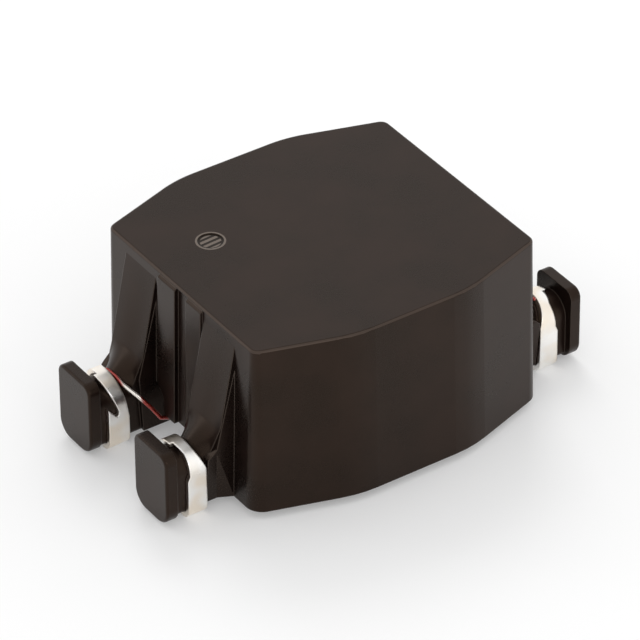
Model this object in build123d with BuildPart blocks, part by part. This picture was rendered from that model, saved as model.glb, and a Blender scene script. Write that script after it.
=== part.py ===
from build123d import *
import os
from math import cos, radians, sin, tan

# A surface-mount common mode choke, in millimetres.
# X runs along the part, Y across it and Z up. Z = 0 is the plane that the four tinned
# bands stand on, and X = Y = 0 is the middle of the part.

# Moulded cap: eight flat sides, open below, narrower at the top by the draft
wall_bottom = 0.18
body_height = 3.53
body_length = 6.17
end_width = 4.80
corner_length = 1.85
side_bulge = 0.59
draft_angle = 1.46
side_wall = 0.42
roof_thickness = 0.45
end_corner_radius = 0.18
foot_corner_radius = 0.36
side_corner_radius = 2.40
inside_corner_radius = 0.15
top_edge_radius = 0.05

# Round orientation mark pressed into the top
mark_x = -1.80
mark_y = 0.94
mark_radius = 0.24
mark_depth = 0.02

# Arms that lean out of each end wall and carry the posts
post_centre = 1.27
arm_inner_offset = 0.49
arm_outer_offset = 0.54
arm_slant_top = 3.00
arm_slant_bottom = 1.37
arm_stand_out = 0.376
foot_stand_out = 0.28
foot_taper = 0.14
taper_top = 1.27
shelf_length = 0.18
shelf_fall = 0.17
shelf_inner_offset = 0.37

# Posts: an arched shaft with a flange at its outer end
shaft_width = 0.80
shaft_bottom = 0.11
shaft_top = 1.37
shaft_bottom_radius = 0.12
crown_flat = 0.02
head_offset = 0.02
head_width = 1.08
head_bottom = 0.06
head_top = 1.63
head_thickness = 0.24
head_bottom_radius = 0.34
head_top_radius = 0.20
head_edge_radius = 0.05

# Ribs on each end wall, and the wire exit that is cut below them
wide_rib_inner = 0.10
wide_rib_outer = 0.66
slim_rib_inner = 0.27
slim_rib_outer = 0.75
rib_height = 0.05
rib_top_chamfer = 0.05
channel_depth = 0.04
pocket_width = 0.32
tongue_bottom = 0.66
tongue_corner_radius = 0.10
pocket_top = 1.20
pocket_radius = 0.28

# Tinned bands: the wire ends wrapped round the posts and dipped
band_thickness = 0.10
band_clearance = 0.01
band_length = 0.48
band_shelf_gap = 0.025
band_head_gap = 0.18
band_lean = 0.18
outer_lean_start = 1.05
inner_set_back = 0.04
inner_lean_start = 0.68
hook_depth = 0.22
hook_low = 0.68
hook_gap = 0.18
hook_rise = 0.28
hook_radius = 0.04
step_top_depth = 0.075
step_run_in = 0.10
step_depth = 0.13
step_low = 0.87
step_height = 0.11
step_set_back = 0.08

# Ferrite ring, lying flat under the roof, and the dabs that hold it
core_wall_gap = 0.27
core_bore_radius = 1.20
core_rise = 0.37
core_edge_radius = 0.15
glue_thickness = 0.33
glue_width = 0.56
glue_length = 0.80

# Windings: one layer of enamelled wire on each half of the ring
wire_diameter = 0.08
wire_clearance = 0.01
turns = 14
winding_gap_angle = 15.0

# Leads. One end runs high over its post, given by angles from the crown and steps along it.
# Each further point is given as out from the end wall, in from the arm and up from the tongue.
lead_in_band = 0.15
high_lead_angles = (10.0, -24.0, -46.0)
high_lead_steps = (0.04, 0.08, 0.12)
high_lead_points = (
    (0.44, 0.06, 0.42), (0.26, 0.25, 0.18), (0.14, 0.36, -0.02),
    (-0.06, 0.36, -0.10), (-0.46, 0.34, -0.08),
)
low_lead_points = ((-0.44, 0.16, 0.02), (0.20, 0.14, -0.11))
low_lead_height = 0.54
low_lead_straight = 0.06
lead_bend_radius = 0.05
ring_entry_radius = 0.10

# The cap's outline, faces and draft
half_length = body_length / 2
half_end = end_width / 2
half_width = half_end + side_bulge
flat_half_length = half_length - corner_length
draft_slope = tan(radians(draft_angle))
body_top = wall_bottom + body_height
roof_underside = body_top - roof_thickness
cut_margin = 0.30
exit_bottom = wall_bottom - cut_margin


def end_plane(z):
    """How far out the drafted end wall stands at a height."""
    return half_length + (body_top - z) * draft_slope


# The ends of arms, ribs and posts are buried in the end wall to half its thickness
wall_root = half_length - side_wall / 2

# Ribs and channels fade out below the rounded top edge
rib_top = body_top - top_edge_radius
rib_full = rib_top - rib_top_chamfer

# Along each post: the arm, the band, the flange
arm_inner = post_centre - arm_inner_offset
arm_outer = post_centre + arm_outer_offset
arm_reach = end_plane(arm_slant_bottom) + arm_stand_out
foot_reach = end_plane(wall_bottom) + foot_stand_out
shelf_reach = arm_reach + shelf_length
band_body_side = shelf_reach + band_shelf_gap
band_head_side = band_body_side + band_length
head_inner_face = band_head_side + band_head_gap
overall_length = 2 * (head_inner_face + head_thickness)
head_middle = (head_bottom + head_top) / 2
arch_radius = (shaft_width - crown_flat) / 2
band_top = shaft_top + band_clearance + band_thickness
tongue_half_width = arm_inner - pocket_width

# The ring fills the hollow, less its gaps
core_top = roof_underside - glue_thickness
core_bottom = tongue_bottom + core_rise
core_height = core_top - core_bottom
core_radius = min(half_length, half_width) - side_wall - core_wall_gap
core_middle_radius = (core_radius + core_bore_radius) / 2
wire_offset = wire_clearance + wire_diameter / 2
winding_start_angle = 180 - winding_gap_angle


def body_outline(z, inset, corner_radius):
    """The eight-sided plan of the drafted cap at a height, drawn in from its outer face."""
    grow = (body_top - z) * draft_slope - inset
    between_corners = flat_half_length + corner_length / 2
    with BuildSketch(Plane.XY.offset(z)) as outline:
        with BuildLine():
            Polyline(
                (half_length, -half_end), (half_length, half_end),
                (flat_half_length, half_width), (-flat_half_length, half_width),
                (-half_length, half_end), (-half_length, -half_end),
                (-flat_half_length, -half_width), (flat_half_length, -half_width), close=True,
            )
        make_face()
        offset(amount=grow, kind=Kind.INTERSECTION)
        end_corners = outline.vertices().filter_by(lambda v: abs(v.X) > between_corners)
        fillet(end_corners, corner_radius)
        side_corners = outline.vertices().filter_by(lambda v: abs(v.X) < between_corners)
        fillet(side_corners, side_corner_radius)
    return outline.sketch


def post_profile(x, grow, bottom):
    """The arched section of a post above a height, grown all round, on the plane at x."""
    top = shaft_top + grow
    with BuildSketch(Plane.YZ.offset(x)) as profile:
        with Locations((post_centre, (bottom + top) / 2)):
            Rectangle(shaft_width + 2 * grow, top - bottom)
        fillet(profile.vertices().group_by(Axis.Y)[-1], arch_radius + grow)
        fillet(profile.vertices().group_by(Axis.Y)[0], shaft_bottom_radius + grow)
    return profile.sketch


# The shelf at the foot of an arm, which reaches out to the band beside the post
with BuildPart() as shelf:
    with BuildSketch(Plane.XZ.offset(-arm_outer)):
        with BuildLine():
            Polyline(
                (wall_root, wall_bottom), (shelf_reach, wall_bottom),
                (shelf_reach, arm_slant_bottom - shelf_fall), (arm_reach, arm_slant_bottom),
                (wall_root, arm_slant_bottom), close=True,
            )
        make_face()
    extrude(amount=arm_outer - post_centre + shelf_inner_offset)
    # its outer side leans in towards the post as far as the foot's does
    lean_foot = Vector(wall_root, arm_outer - foot_taper, wall_bottom)
    lean_rise = Vector(wall_root, arm_outer, taper_top)
    lean_normal = Vector(1, 0, 0).cross(lean_rise - lean_foot)
    split(bisect_by=Plane(lean_foot, z_dir=lean_normal), keep=Keep.TOP)

# Four arms with their posts, modelled once at +X +Y and mirrored
with BuildPart() as arms:
    with BuildSketch(Plane.XZ.offset(-arm_outer)):
        with BuildLine():
            Polyline(
                (wall_root, wall_bottom), (foot_reach, wall_bottom), (arm_reach, arm_slant_bottom),
                (end_plane(arm_slant_top), arm_slant_top), (wall_root, arm_slant_top), close=True,
            )
        make_face()
    extrude(amount=arm_outer - arm_inner)
    # the outer side of each foot leans in towards the post
    taper_start = Vector(end_plane(wall_bottom), arm_outer, wall_bottom)
    taper_end = Vector(foot_reach, arm_outer - foot_taper, wall_bottom)
    taper_rise = Vector(arm_reach, arm_outer, taper_top)
    taper_normal = (taper_end - taper_start).cross(taper_rise - taper_start)
    split(bisect_by=Plane(taper_start, z_dir=taper_normal), keep=Keep.TOP)
    add(shelf.part)
    extrude(post_profile(wall_root, 0, shaft_bottom), amount=head_inner_face - wall_root)
    with BuildSketch(Plane.YZ.offset(head_inner_face)) as flange:
        with Locations((post_centre + head_offset, head_middle)):
            Rectangle(head_width, head_top - head_bottom)
        fillet(flange.vertices().group_by(Axis.Y)[-1], head_top_radius)
        fillet(flange.vertices().group_by(Axis.Y)[0], head_bottom_radius)
    extrude(amount=head_thickness)
    fillet(arms.faces().sort_by(Axis.X)[-1].edges(), head_edge_radius)
    mirror(about=Plane.XZ)
    mirror(about=Plane.YZ)


def rib_profile(y):
    """The side view of a shallow rib that runs down the end wall at +X."""
    with BuildSketch(Plane.XZ.offset(-y)) as profile:
        with BuildLine():
            Polyline(
                (wall_root, tongue_bottom), (end_plane(tongue_bottom) + rib_height, tongue_bottom),
                (end_plane(rib_full) + rib_height, rib_full), (end_plane(rib_top), rib_top),
                (wall_root, rib_top), close=True,
            )
        make_face()
    return profile.sketch


# Two ribs on each end wall: the +X end is the -X end turned half way round
with BuildPart() as ribs:
    extrude(rib_profile(slim_rib_outer), amount=slim_rib_outer - slim_rib_inner)
    extrude(rib_profile(-wide_rib_inner), amount=wide_rib_outer - wide_rib_inner)
    add(ribs.part, rotation=(0, 0, 180))

# The shallow channel between the two ribs, one in each end wall
with BuildPart() as channels:
    with BuildSketch(Plane.XZ.offset(-slim_rib_inner)):
        with BuildLine():
            Polyline(
                (end_plane(exit_bottom) - channel_depth, exit_bottom),
                (end_plane(exit_bottom) + cut_margin, exit_bottom),
                (end_plane(exit_bottom) + cut_margin, rib_top), (end_plane(rib_top), rib_top),
                (end_plane(rib_full) - channel_depth, rib_full), close=True,
            )
        make_face()
    extrude(amount=slim_rib_inner + wide_rib_inner)
    add(channels.part, rotation=(0, 0, 180))

# Housing: the cap, its ribs, wire exits, arms and posts are one moulding
with BuildPart() as housing:
    outer = [
        body_outline(wall_bottom, 0, foot_corner_radius), body_outline(body_top, 0, end_corner_radius),
    ]
    loft(outer, ruled=True)
    fillet(housing.faces().sort_by(Axis.Z)[-1].edges(), top_edge_radius)
    add(ribs.part)
    hollow = [body_outline(z, side_wall, inside_corner_radius) for z in (wall_bottom, roof_underside)]
    loft(hollow, ruled=True, mode=Mode.SUBTRACT)
    with BuildSketch(Plane.YZ) as exit_profile:
        with Locations((0, (exit_bottom + pocket_top) / 2)):
            Rectangle(2 * arm_inner, pocket_top - exit_bottom)
        with Locations((0, (tongue_bottom + pocket_top) / 2)):
            Rectangle(2 * tongue_half_width, pocket_top - tongue_bottom, mode=Mode.SUBTRACT)
        fillet(exit_profile.vertices().group_by(Axis.Y)[-1].sort_by(Axis.X)[1:3], pocket_radius)
        fillet(exit_profile.vertices().group_by(Axis.Y)[1], tongue_corner_radius)
    extrude(amount=overall_length / 2, both=True, mode=Mode.SUBTRACT)
    add(channels.part, mode=Mode.SUBTRACT)
    add(arms.part)
    with BuildSketch(Plane.XY.offset(body_top)):
        with Locations((mark_x, mark_y)):
            Circle(mark_radius)
    extrude(amount=-mark_depth, mode=Mode.SUBTRACT)

def lean_profile(set_back, start):
    """The side view of what is cut from the band's side towards the cap, from a height up."""
    with BuildSketch(Plane.XZ.offset(-post_centre)) as profile:
        with BuildLine():
            Polyline(
                (band_body_side + set_back, -cut_margin), (band_body_side + set_back, start),
                (band_body_side + band_lean, band_top),
                (band_body_side + band_lean, band_top + cut_margin),
                (band_body_side - cut_margin, band_top + cut_margin),
                (band_body_side - cut_margin, -cut_margin), close=True,
            )
        make_face()
    return profile.sketch


# Bands: modelled once at +X +Y
with BuildPart() as band:
    extrude(post_profile(band_body_side, band_clearance + band_thickness, 0), amount=band_length)
    bore = post_profile(band_body_side, band_clearance, shaft_bottom - band_clearance)
    extrude(bore, amount=band_length, mode=Mode.SUBTRACT)
    # the last turn climbs, so the side towards the cap leans outward at the top
    extrude(lean_profile(0, outer_lean_start), amount=-head_width, mode=Mode.SUBTRACT)
    extrude(lean_profile(inner_set_back, inner_lean_start), amount=head_width, mode=Mode.SUBTRACT)
    # towards the middle of the part, two turns part in a hook-shaped gap
    with BuildSketch(Plane.XZ.offset(-post_centre)) as hook:
        with BuildLine():
            Polyline(
                (band_head_side, band_top), (band_head_side - hook_depth, hook_low + hook_gap),
                (band_head_side - hook_depth, hook_low), (band_head_side, hook_low + hook_rise),
                (band_head_side + cut_margin, hook_low + hook_rise),
                (band_head_side + cut_margin, band_top), close=True,
            )
        make_face()
        fillet(hook.vertices().group_by(Axis.X)[0], hook_radius)
    extrude(amount=head_width, mode=Mode.SUBTRACT)
    # away from the middle, the same gap is a shallow step
    with BuildSketch(Plane.XZ.offset(-post_centre)):
        with BuildLine():
            Polyline(
                (band_head_side - step_top_depth, band_top),
                (band_head_side - step_depth, band_top - step_run_in),
                (band_head_side - step_depth, step_low + step_height),
                (band_head_side - step_set_back, step_low),
                (band_head_side - step_set_back, -cut_margin),
                (band_head_side + cut_margin, -cut_margin),
                (band_head_side + cut_margin, band_top), close=True,
            )
        make_face()
    extrude(amount=-head_width, mode=Mode.SUBTRACT)

# Ferrite ring
with BuildPart() as ferrite_core:
    with BuildSketch(Plane.XY.offset(core_bottom)):
        Circle(core_radius)
        Circle(core_bore_radius, mode=Mode.SUBTRACT)
    extrude(amount=core_height)
    fillet(ferrite_core.edges(), core_edge_radius)

# Two dabs of adhesive between the ring and the roof, in the gaps between the windings
with BuildPart() as adhesive:
    with BuildSketch(Plane.XY.offset(core_top)):
        with Locations((core_middle_radius, 0), (-core_middle_radius, 0)):
            Ellipse(glue_length / 2, glue_width / 2)
    extrude(amount=glue_thickness)


def at_angle(radius, angle, z):
    """A point round the ring's axis."""
    return (radius * cos(radians(angle)), radius * sin(radians(angle)), z)


def on_post(distance, angle):
    """A point of the wire on a post's arch, by its angle from the crown."""
    radius = arch_radius + band_clearance + band_thickness / 2
    arch_z = shaft_top - arch_radius
    return (
        -distance, post_centre + radius * sin(radians(angle)),
        arch_z + radius * cos(radians(angle)),
    )


def by_the_exit(out, inward, up):
    """A point measured from the end wall, the arm's inner side and the tongue's lower edge."""
    return (end_plane(tongue_bottom) + out, arm_inner - inward, tongue_bottom + up)


def high_lead():
    """From inside the band at -X +Y, over the post and under the tongue, to the ring."""
    band_edge = band_body_side + band_lean
    points = [on_post(band_edge + lead_in_band, high_lead_angles[0])]
    points += [
        on_post(band_edge - step, angle)
        for step, angle in zip(high_lead_steps, high_lead_angles)
    ]
    for point in high_lead_points:
        x, y, z = by_the_exit(*point)
        points.append((-x, y, z))
    return points


def low_lead():
    """From the ring through the pocket at +X +Y, low along the post, into its band."""
    side = post_centre - shaft_width / 2 - band_clearance - band_thickness / 2
    points = [by_the_exit(*point) for point in low_lead_points]
    points.append((band_body_side - low_lead_straight, side, low_lead_height))
    points.append((band_body_side + lead_in_band, side, low_lead_height))
    return points


def ring_turns():
    """The corners of every turn round the ring, from the start angle to its mirror image."""
    outer = core_radius + wire_offset
    inner = core_bore_radius - wire_offset
    low = core_bottom - wire_offset
    high = core_top + wire_offset
    pitch = (180 - 2 * winding_start_angle) / turns
    points = [at_angle(outer, winding_start_angle, low)]
    for turn in range(turns):
        angle = winding_start_angle + turn * pitch
        points += [at_angle(inner, angle, low), at_angle(inner, angle, high)]
        points += [at_angle(outer, angle + pitch, high), at_angle(outer, angle + pitch, low)]
    return points


turn_radius = core_edge_radius + wire_offset
route = high_lead() + ring_turns() + low_lead()
bend_radii = [lead_bend_radius] * (len(high_lead()) - 1) + [ring_entry_radius]
bend_radii += [turn_radius] * (len(ring_turns()) - 2)
bend_radii += [ring_entry_radius] + [lead_bend_radius] * (len(low_lead()) - 1)

# Winding on the +Y half; the bands trim its ends flush
with BuildPart() as winding_1:
    with BuildLine() as wire_path:
        FilletPolyline(*route, radius=bend_radii)
    with BuildSketch(Plane(wire_path.line @ 0, z_dir=wire_path.line % 0)):
        Circle(wire_diameter / 2)
    sweep()
    add(band.part, mode=Mode.SUBTRACT)
    mirror(band.part, about=Plane.YZ, mode=Mode.SUBTRACT)

# Winding on the -Y half: the same one, turned half way round
with BuildPart() as winding_2:
    add(winding_1.part, rotation=(0, 0, 180))

# The four bands, numbered from the orientation mark
with BuildPart() as terminal_1:
    mirror(band.part, about=Plane.YZ)
with BuildPart() as terminal_2:
    add(band.part, rotation=(0, 0, 180))
with BuildPart() as terminal_3:
    mirror(band.part, about=Plane.XZ)
with BuildPart() as terminal_4:
    add(band.part)

os.makedirs("parts", exist_ok=True)

housing.part.label = "housing"
export_step(housing.part, "parts/housing.step")
ferrite_core.part.label = "ferrite_core"
export_step(ferrite_core.part, "parts/ferrite_core.step")
adhesive.part.label = "adhesive"
export_step(adhesive.part, "parts/adhesive.step")
winding_1.part.label = "winding_1"
export_step(winding_1.part, "parts/winding_1.step")
winding_2.part.label = "winding_2"
export_step(winding_2.part, "parts/winding_2.step")
terminal_1.part.label = "terminal_1"
export_step(terminal_1.part, "parts/terminal_1.step")
terminal_2.part.label = "terminal_2"
export_step(terminal_2.part, "parts/terminal_2.step")
terminal_3.part.label = "terminal_3"
export_step(terminal_3.part, "parts/terminal_3.step")
terminal_4.part.label = "terminal_4"
export_step(terminal_4.part, "parts/terminal_4.step")
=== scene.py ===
import math

import bmesh
import bpy
from mathutils import Matrix, Vector


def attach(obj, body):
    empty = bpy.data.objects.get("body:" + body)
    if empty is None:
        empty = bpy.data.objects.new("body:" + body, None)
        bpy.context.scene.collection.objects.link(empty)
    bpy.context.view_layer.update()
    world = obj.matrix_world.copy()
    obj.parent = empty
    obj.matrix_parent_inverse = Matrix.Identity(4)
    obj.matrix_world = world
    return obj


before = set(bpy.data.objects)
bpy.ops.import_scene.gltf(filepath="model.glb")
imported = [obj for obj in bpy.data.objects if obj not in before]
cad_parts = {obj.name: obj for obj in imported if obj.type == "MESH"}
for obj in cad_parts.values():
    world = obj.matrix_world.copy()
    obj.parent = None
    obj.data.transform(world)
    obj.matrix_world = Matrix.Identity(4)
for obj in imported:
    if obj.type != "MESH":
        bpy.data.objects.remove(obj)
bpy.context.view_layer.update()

MM = 0.001
scene = bpy.context.scene


def srgb(r, g, b):
    """A colour as a picture shows it, 0 to 255, as the linear values that Blender takes."""
    def linear(value):
        v = value / 255
        return v / 12.92 if v <= 0.04045 else ((v + 0.055) / 1.055) ** 2.4
    return (linear(r), linear(g), linear(b), 1.0)


def grey(value):
    return (value, value, value, 1.0)


# Colours
BODY_DARK = srgb(18, 11, 9)
BODY_PALE = srgb(28, 18, 15)
BODY_GLOSS = (1.0, 0.72, 0.53, 1.0)
# Painted highlights: paler colours for the body's sharp edges and its rounded top edge
BODY_EDGE_HIGHLIGHT = srgb(92, 84, 78)
TOP_EDGE_HIGHLIGHT = srgb(92, 82, 76)
MARK_PALE = srgb(102, 93, 86)
MARK_DARK = srgb(0, 0, 0)
TIN_BRIGHT = srgb(253, 251, 247)
TIN_WARM = srgb(246, 236, 222)
ENAMEL_BRIGHT = srgb(176, 56, 42)
ENAMEL_DEEP = srgb(140, 38, 32)
# Painted highlight: the near-white of the wire's glint
ENAMEL_HIGHLIGHT = srgb(250, 244, 236)
FERRITE_DARK = srgb(50, 50, 53)
FERRITE_PALE = srgb(74, 73, 75)
FERRITE_WORN = srgb(112, 111, 110)
GLUE_PALE = srgb(220, 216, 202)
GLUE_DARK = srgb(196, 190, 172)

# Amount of painted highlight on the body's sharp edges and on its rounded top edge, of wear on the
# ferrite's edges, and the turn of the normal where it starts and is full
BODY_HIGHLIGHT_AMOUNT = 0.7
TOP_HIGHLIGHT_AMOUNT = 0.4
FERRITE_RUB = 0.5
EDGE_FROM = 0.02
EDGE_TO = 0.25
BEVEL_SAMPLES = 8

# The rounded edge of the top: the height it starts at, and how far up its faces look
TOP_EDGE_FROM = 3.65 * MM
TOP_EDGE_UP = (0.25, 0.94)

# The orientation mark: centre, rings, hatch lines and the height it starts at
MARK_AT = (-1.80 * MM, 0.94 * MM)
MARK_RING = (0.20 * MM, 0.247 * MM, 0.285 * MM)
MARK_STEP = 0.125 * MM
MARK_LINE = 0.03 * MM
MARK_TURN = 0.053
MARK_FLOOR = 3.6 * MM

# The stretch of each lead painted near-white as a highlight, in mm out from the middle
WIRE_HIGHLIGHT_FROM = 3.55
WIRE_HIGHLIGHT_TO = 3.82
WIRE_HIGHLIGHT_FADE = 0.05

# The faces of the arms, in mm: across from the post's centre line, out from the middle
POST_CENTRE = 1.27
FACE_TOP = 3.52
FACE_TOP_OUT = 3.083
FOOT_TOP = 1.80
FOOT_TOP_OUT = 3.430
FOOT_SIDES = (-0.478, 0.528)
FOOT_DEPTH = 0.28
ARCH_MIDDLE = 0.98
ARCH_RADIUS = 0.388
BAND_EDGE = 3.706
BAND_LEAN = 0.18
BAND_LEAN_FROM = 1.05
BAND_LEAN_TO = 1.48
FOOT_ROWS = 10
FOOT_COLUMNS = 24
FOOT_SHARP = math.radians(35)

# The end and the side of the part that each foot is on
FOOT_PLACES = ((1, 1), (-1, 1), (-1, -1), (1, -1))

# Floor and world
FLOOR_SIZE = 0.24
FLOOR_COLOUR = 0.95
FLOOR_WHITE = 0.25
WORLD_SEEN = 1.0
WORLD_LIGHT = 0.88
LAMP_DISTANCE = 0.15

# Camera, fitted to the photograph
AZIMUTH = -34.002
ELEVATION = 35.433
ROLL = -0.435
DISTANCE_MM = 97.596
TARGET_HEIGHT = 2.58 * MM
SENSOR = 36.0
PIXELS = 640
PIXELS_PER_MM = 54.34
TARGET_AT = (321.50, 283.17)
NEAREST = 0.01
FARTHEST = 10


class Graph:
    """A short way to build a material's nodes. Noise scales are in cells to the metre."""

    def __init__(self, name):
        self.material = bpy.data.materials.new(name)
        self.material.use_nodes = True
        self.nodes = self.material.node_tree.nodes
        self.links = self.material.node_tree.links
        self.shader = self.nodes["Principled BSDF"]

    def add(self, kind, **settings):
        node = self.nodes.new(kind)
        for key, value in settings.items():
            if key in node.inputs:
                node.inputs[key].default_value = value
            else:
                setattr(node, key, value)
        return node

    def link(self, a, b):
        self.links.new(a, b)

    def level(self, socket, value):
        """Sets a value of the shader that is the same all over."""
        self.shader.inputs[socket].default_value = value

    def math(self, operation, a, b=None):
        node = self.add("ShaderNodeMath", operation=operation)
        for socket, value in zip(node.inputs, (a, b)):
            if value is None:
                continue
            if isinstance(value, (int, float)):
                socket.default_value = value
            else:
                self.link(value, socket)
        return node.outputs[0]

    def times(self, a, b):
        return self.math("MULTIPLY", a, b)

    def above(self, value, low):
        """1 where a value is more than a limit."""
        return self.math("GREATER_THAN", value, low)

    def below(self, value, high):
        """1 where a value is less than a limit."""
        return self.math("LESS_THAN", value, high)

    def inside(self, value, low, high):
        """1 where a value lies between two limits."""
        return self.times(self.above(value, low), self.below(value, high))

    def mix(self, factor, a, b):
        node = self.add("ShaderNodeMix", data_type="RGBA")
        for socket, value in ((node.inputs[0], factor), (node.inputs[6], a), (node.inputs[7], b)):
            if isinstance(value, (int, float, tuple)):
                socket.default_value = value
            else:
                self.link(value, socket)
        return node.outputs[2]

    def ramp(self, value, low, high, first=0.0, last=1.0):
        """Goes from a first to a last level while a value rises from low to high."""
        node = self.nodes.new("ShaderNodeValToRGB")
        stops = ((low, first), (high, last))
        for element, (place, level) in zip(node.color_ramp.elements, stops):
            element.position = place
            element.color = grey(level)
        self.link(value, node.inputs[0])
        return node.outputs[0]

    def place(self):
        return self.add("ShaderNodeTexCoord").outputs["Object"]

    def split(self, vector):
        node = self.nodes.new("ShaderNodeSeparateXYZ")
        self.link(vector, node.inputs[0])
        return node.outputs

    def flat_normal(self):
        return self.add("ShaderNodeNewGeometry").outputs["Normal"]

    def noise(self, place, scale, detail):
        node = self.add("ShaderNodeTexNoise", Scale=scale, Detail=detail)
        self.link(place, node.inputs["Vector"])
        return node.outputs["Fac"]

    def bevel(self, radius):
        """Normals that run round every sharp edge."""
        return self.add("ShaderNodeBevel", Radius=radius, samples=BEVEL_SAMPLES).outputs[0]

    def edge(self, rounded):
        """How close a point is to a sharp edge, from its rounded and its flat normal."""
        flat = self.flat_normal()
        dot = self.add("ShaderNodeVectorMath", operation="DOT_PRODUCT")
        self.link(rounded, dot.inputs[0])
        self.link(flat, dot.inputs[1])
        turned = self.math("SUBTRACT", 1.0, dot.outputs["Value"])
        return self.ramp(turned, EDGE_FROM, EDGE_TO)

    def colour(self, value):
        self.link(value, self.shader.inputs["Base Color"])

    def roughness(self, base, *layers):
        """A base roughness with some of each noise on top."""
        parts = [self.times(noise, amount) for noise, amount in layers]
        total = parts[0]
        for part in parts[1:]:
            total = self.math("ADD", total, part)
        self.link(self.math("ADD", total, base), self.shader.inputs["Roughness"])

    def bump(self, height, distance, strength, normal=None):
        node = self.add("ShaderNodeBump", Distance=distance, Strength=strength)
        self.link(height, node.inputs["Height"])
        if normal is not None:
            self.link(normal, node.inputs["Normal"])
        self.link(node.outputs[0], self.shader.inputs["Normal"])

    def rounded_top(self, place):
        """1 on the rounded edge that runs round the top."""
        height = self.split(place)[2]
        up = self.split(self.flat_normal())[2]
        return self.times(self.inside(up, *TOP_EDGE_UP), self.above(height, TOP_EDGE_FROM))

    def mark(self, place):
        """The round orientation mark on the top: where it is pale, and where it is dark."""
        inner, middle, outer = MARK_RING
        at = self.split(place)
        x = self.math("SUBTRACT", at[0], MARK_AT[0])
        y = self.math("SUBTRACT", at[1], MARK_AT[1])
        radius = self.math("SQRT", self.math("ADD", self.times(x, x), self.times(y, y)))
        on_top = self.above(at[2], MARK_FLOOR)
        across = self.math("ABSOLUTE", self.math("SUBTRACT", y, self.times(x, MARK_TURN)))
        middle_line = self.below(across, MARK_LINE)
        outer_lines = self.inside(across, MARK_STEP - MARK_LINE, MARK_STEP + MARK_LINE)
        hatch = self.math("MAXIMUM", middle_line, outer_lines)
        lines = self.times(hatch, self.below(radius, inner))
        ring = self.inside(radius, inner, middle)
        pale = self.times(self.below(radius, outer), on_top)
        return pale, self.times(self.math("MAXIMUM", lines, ring), on_top)


def moulding():
    """Black moulded plastic: near-black body colour, fine grain, with its sharp edges and rounded top
    edge painted paler as a highlight.
    """
    g = Graph("moulding")
    place = g.place()
    cloud = g.noise(place, scale=900.0, detail=3.0)
    grain = g.noise(place, scale=22000.0, detail=2.0)
    body = g.mix(g.ramp(cloud, low=0.35, high=0.65), BODY_DARK, BODY_PALE)
    rounded = g.bevel(0.03 * MM)
    # Painted highlight: sharp edges are made paler
    body = g.mix(g.times(g.edge(rounded), BODY_HIGHLIGHT_AMOUNT), body, BODY_EDGE_HIGHLIGHT)
    # Painted highlight: the rounded top edge is made paler
    body = g.mix(g.times(g.rounded_top(place), TOP_HIGHLIGHT_AMOUNT), body, TOP_EDGE_HIGHLIGHT)
    pale, dark = g.mark(place)
    body = g.mix(pale, body, MARK_PALE)
    g.colour(g.mix(dark, body, MARK_DARK))
    g.roughness(0.21, (cloud, 0.10), (grain, 0.06))
    g.level("IOR", 1.34)
    g.level("Specular Tint", BODY_GLOSS)
    g.bump(grain, distance=0.0012 * MM, strength=0.5, normal=rounded)
    return g.material


def tin():
    """Dipped tin: bright, softly wavy, with a warmer tone where it is thin."""
    g = Graph("tin")
    place = g.place()
    waves = g.noise(place, scale=2200.0, detail=1.0)
    fine = g.noise(place, scale=16000.0, detail=3.0)
    warm = g.ramp(waves, low=0.38, high=0.60, first=1.0, last=0.0)
    g.colour(g.mix(warm, TIN_BRIGHT, TIN_WARM))
    g.level("Metallic", 1.0)
    g.roughness(0.24, (fine, 0.12))
    height = g.math("ADD", waves, g.times(fine, 0.02))
    g.bump(height, distance=0.010 * MM, strength=0.5, normal=g.bevel(0.04 * MM))
    return g.material


def enamel():
    """Enamelled copper: metallic under a clear red-brown coat, with a painted white highlight on a
    stretch by the band.
    """
    g = Graph("enamelled_wire")
    place = g.place()
    tone = g.noise(place, scale=2600.0, detail=2.0)
    out = g.math("DIVIDE", g.math("ABSOLUTE", g.split(place)[0]), MM)
    start = g.ramp(g.math("SUBTRACT", out, WIRE_HIGHLIGHT_FROM), low=0.0, high=WIRE_HIGHLIGHT_FADE)
    end = g.ramp(g.math("SUBTRACT", WIRE_HIGHLIGHT_TO, out), low=0.0, high=WIRE_HIGHLIGHT_FADE)
    red = g.mix(tone, ENAMEL_BRIGHT, ENAMEL_DEEP)
    # Painted highlight: a stretch by the band is coloured near-white like a glint
    g.colour(g.mix(g.times(start, end), red, ENAMEL_HIGHLIGHT))
    g.level("Metallic", 0.75)
    g.roughness(0.22, (tone, 0.10))
    g.level("Coat Weight", 1.0)
    g.level("Coat Roughness", 0.12)
    g.bump(g.noise(place, scale=9000.0, detail=2.0), distance=0.002 * MM, strength=0.4)
    return g.material


def ferrite():
    """Sintered ferrite: dark grey with fine pits and pale worn edges."""
    g = Graph("ferrite")
    place = g.place()
    cloud = g.noise(place, scale=1400.0, detail=4.0)
    pits = g.noise(place, scale=14000.0, detail=3.0)
    body = g.mix(cloud, FERRITE_DARK, FERRITE_PALE)
    rounded = g.bevel(0.05 * MM)
    g.colour(g.mix(g.times(g.edge(rounded), FERRITE_RUB), body, FERRITE_WORN))
    g.roughness(0.45, (pits, 0.25))
    g.bump(pits, distance=0.006 * MM, strength=0.6, normal=rounded)
    return g.material


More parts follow.
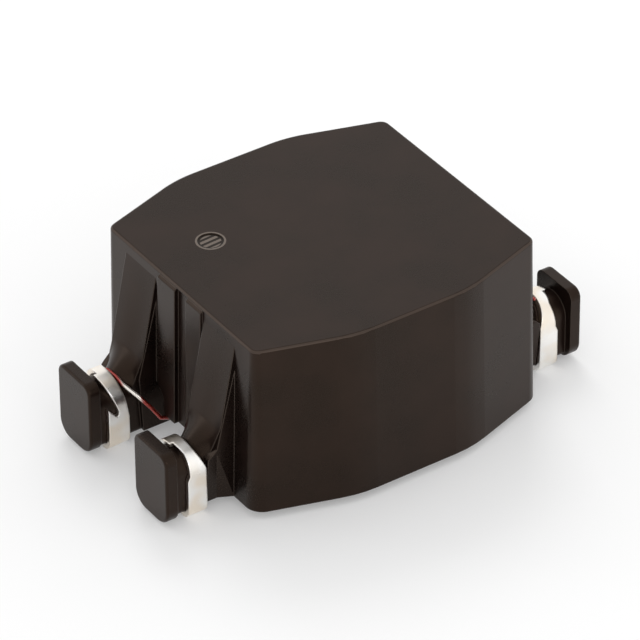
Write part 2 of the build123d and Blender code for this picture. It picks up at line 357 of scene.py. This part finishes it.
def glue():
    """Cured adhesive: milky and smooth, with a softly uneven surface."""
    g = Graph("adhesive")
    place = g.place()
    cloud = g.noise(place, scale=2200.0, detail=2.0)
    g.colour(g.mix(cloud, GLUE_PALE, GLUE_DARK))
    g.roughness(0.25, (cloud, 0.2))
    g.level("Subsurface Weight", 0.3)
    g.level("Subsurface Scale", 0.2 * MM)
    dents = g.noise(place, scale=6000.0, detail=2.0)
    g.bump(dents, distance=0.01 * MM, strength=0.4, normal=g.bevel(0.05 * MM))
    return g.material


def dress(obj, material):
    obj.data.materials.clear()
    obj.data.materials.append(material)


def arch_point(along):
    """A point of the post's arch beside the band, from its low side at 0 to its high side at 1."""
    angle = math.pi * (along - 0.5)
    y = ARCH_RADIUS * math.sin(angle)
    z = ARCH_MIDDLE + ARCH_RADIUS * math.cos(angle)
    lean = (z - BAND_LEAN_FROM) / (BAND_LEAN_TO - BAND_LEAN_FROM)
    return Vector((BAND_EDGE + BAND_LEAN * min(max(lean, 0.0), 1.0), y, z))


def foot_points(out_shift):
    """Rows of points down the arm's face, and from its lower end to the arch beside the band."""
    shift = Vector((out_shift, 0, 0))
    span = FOOT_SIDES[1] - FOOT_SIDES[0]
    steps = range(FOOT_COLUMNS + 1)
    shares = [j / FOOT_COLUMNS for j in steps]
    columns = [FOOT_SIDES[0] + span * j / FOOT_COLUMNS for j in steps]
    rows = [[Vector((FACE_TOP_OUT, across, FACE_TOP)) - shift for across in columns]]
    for i in range(FOOT_ROWS + 1):
        rows.append([
            Vector((FOOT_TOP_OUT, across, FOOT_TOP)).lerp(arch_point(along), i / FOOT_ROWS) - shift
            for across, along in zip(columns, shares)
        ])
    return rows


def foot(name, end, side, material):
    """The face of one arm and its foot, which narrows from the arm's width to the post's arch."""
    mesh = bmesh.new()
    front, back = (
        [
            [mesh.verts.new((end * p.x * MM, side * (POST_CENTRE + p.y) * MM, p.z * MM)) for p in row]
            for row in foot_points(depth)
        ]
        for depth in (0, FOOT_DEPTH)
    )
    for grid in (front, back):
        for upper, lower in zip(grid, grid[1:]):
            for j in range(FOOT_COLUMNS):
                mesh.faces.new((upper[j], upper[j + 1], lower[j + 1], lower[j]))
    for j in range(FOOT_COLUMNS):
        for row in (0, -1):
            mesh.faces.new((front[row][j], front[row][j + 1], back[row][j + 1], back[row][j]))
    for i in range(len(front) - 1):
        for column in (0, -1):
            mesh.faces.new((
                front[i][column], front[i + 1][column], back[i + 1][column], back[i][column],
            ))
    bmesh.ops.recalc_face_normals(mesh, faces=mesh.faces)
    data = bpy.data.meshes.new(name)
    mesh.to_mesh(data)
    mesh.free()
    data.shade_smooth()
    data.set_sharp_from_angle(angle=FOOT_SHARP)
    obj = bpy.data.objects.new(name, data)
    scene.collection.objects.link(obj)
    dress(obj, material)
    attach(obj, "root")


def part():
    """Every CAD node gets its material, and each arm its face and foot."""
    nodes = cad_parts
    plastic = moulding()
    dress(nodes["housing"], plastic)
    for number, (end, side) in enumerate(FOOT_PLACES, 1):
        foot("arm_foot_%d" % number, end, side, plastic)
    dress(nodes["ferrite_core"], ferrite())
    dress(nodes["adhesive"], glue())
    wire_material = enamel()
    tin_material = tin()
    for number in (1, 2):
        dress(nodes["winding_%d" % number], wire_material)
    for number in (1, 2, 3, 4):
        dress(nodes["terminal_%d" % number], tin_material)


def seen(nodes, links):
    """1 for what the camera sees, also in a reflection or through glass, and 0 for light."""
    path = nodes.new("ShaderNodeLightPath")
    first = nodes.new("ShaderNodeMath")
    both = nodes.new("ShaderNodeMath")
    first.operation = both.operation = "MAXIMUM"
    links.new(path.outputs["Is Camera Ray"], first.inputs[0])
    links.new(path.outputs["Is Glossy Ray"], first.inputs[1])
    links.new(first.outputs[0], both.inputs[0])
    links.new(path.outputs["Is Transmission Ray"], both.inputs[1])
    return both.outputs[0]


def floor():
    bpy.ops.mesh.primitive_plane_add(size=FLOOR_SIZE, location=(0, 0, 0))
    obj = bpy.context.object
    obj.name = "floor"
    g = Graph("floor")
    g.level("Roughness", 1.0)
    g.level("Specular IOR Level", 0.0)
    g.level("Base Color", grey(FLOOR_COLOUR))
    white = g.add("ShaderNodeEmission", Strength=1.0)
    blend = g.add("ShaderNodeMixShader")
    g.link(g.times(seen(g.nodes, g.links), FLOOR_WHITE), blend.inputs[0])
    g.link(g.shader.outputs[0], blend.inputs[1])
    g.link(white.outputs[0], blend.inputs[2])
    g.link(blend.outputs[0], g.nodes["Material Output"].inputs[0])
    dress(obj, g.material)


def studio():
    """A white world, plain white to the camera and a little less to the object."""
    world = bpy.data.worlds.new("studio")
    scene.world = world
    world.use_nodes = True
    nodes, links = world.node_tree.nodes, world.node_tree.links
    background = nodes["Background"]
    background.inputs[0].default_value = grey(1)
    level = nodes.new("ShaderNodeMath")
    level.operation = "MULTIPLY_ADD"
    links.new(seen(nodes, links), level.inputs[0])
    level.inputs[1].default_value = WORLD_SEEN - WORLD_LIGHT
    level.inputs[2].default_value = WORLD_LIGHT
    links.new(level.outputs[0], background.inputs[1])


def direction(azimuth, elevation):
    """The way from the part to where a camera at these angles in degrees stands."""
    a, e = math.radians(azimuth), math.radians(elevation)
    return Vector((math.sin(a) * math.cos(e), -math.cos(a) * math.cos(e), math.sin(e)))


def lamp(name, azimuth, elevation, size, level, glossy=True):
    """A square lamp that looks at the part. Its level is what a white face that looks at it gains."""
    way = direction(azimuth, elevation)
    data = bpy.data.lights.new(name, "AREA")
    data.shape = "SQUARE"
    data.size = size
    data.energy = level * (math.pi * LAMP_DISTANCE) ** 2
    obj = bpy.data.objects.new(name, data)
    obj.location = way * LAMP_DISTANCE
    obj.rotation_euler = way.to_track_quat("Z", "Y").to_euler()
    obj.visible_glossy = glossy
    scene.collection.objects.link(obj)


def camera():
    data = bpy.data.cameras.new("camera")
    data.sensor_width = SENSOR
    data.lens = PIXELS_PER_MM * DISTANCE_MM / PIXELS * SENSOR
    data.clip_start = NEAREST
    data.clip_end = FARTHEST
    data.shift_x = (PIXELS / 2 - TARGET_AT[0]) / PIXELS
    data.shift_y = (TARGET_AT[1] - PIXELS / 2) / PIXELS
    obj = bpy.data.objects.new("camera", data)
    azimuth, roll = math.radians(AZIMUTH), math.radians(ROLL)
    back = direction(AZIMUTH, ELEVATION)
    right = Vector((math.cos(azimuth), math.sin(azimuth), 0))
    up = back.cross(right)
    x = math.cos(roll) * right + math.sin(roll) * up
    y = -math.sin(roll) * right + math.cos(roll) * up
    turn = Matrix((x, y, back)).transposed().to_4x4()
    stand = Vector((0, 0, TARGET_HEIGHT)) + back * (DISTANCE_MM * MM)
    obj.matrix_world = Matrix.Translation(stand) @ turn
    scene.collection.objects.link(obj)
    scene.camera = obj


part()
floor()
studio()
lamp("key", azimuth=155, elevation=50, size=0.06, level=0.2, glossy=False)
lamp("side", azimuth=100, elevation=40, size=0.08, level=0.06, glossy=False)
lamp("glint", azimuth=0, elevation=22, size=0.02, level=0.07)
lamp("rim", azimuth=-139.5, elevation=27, size=0.03, level=0.03)
camera()
scene.view_settings.view_transform = "Standard"
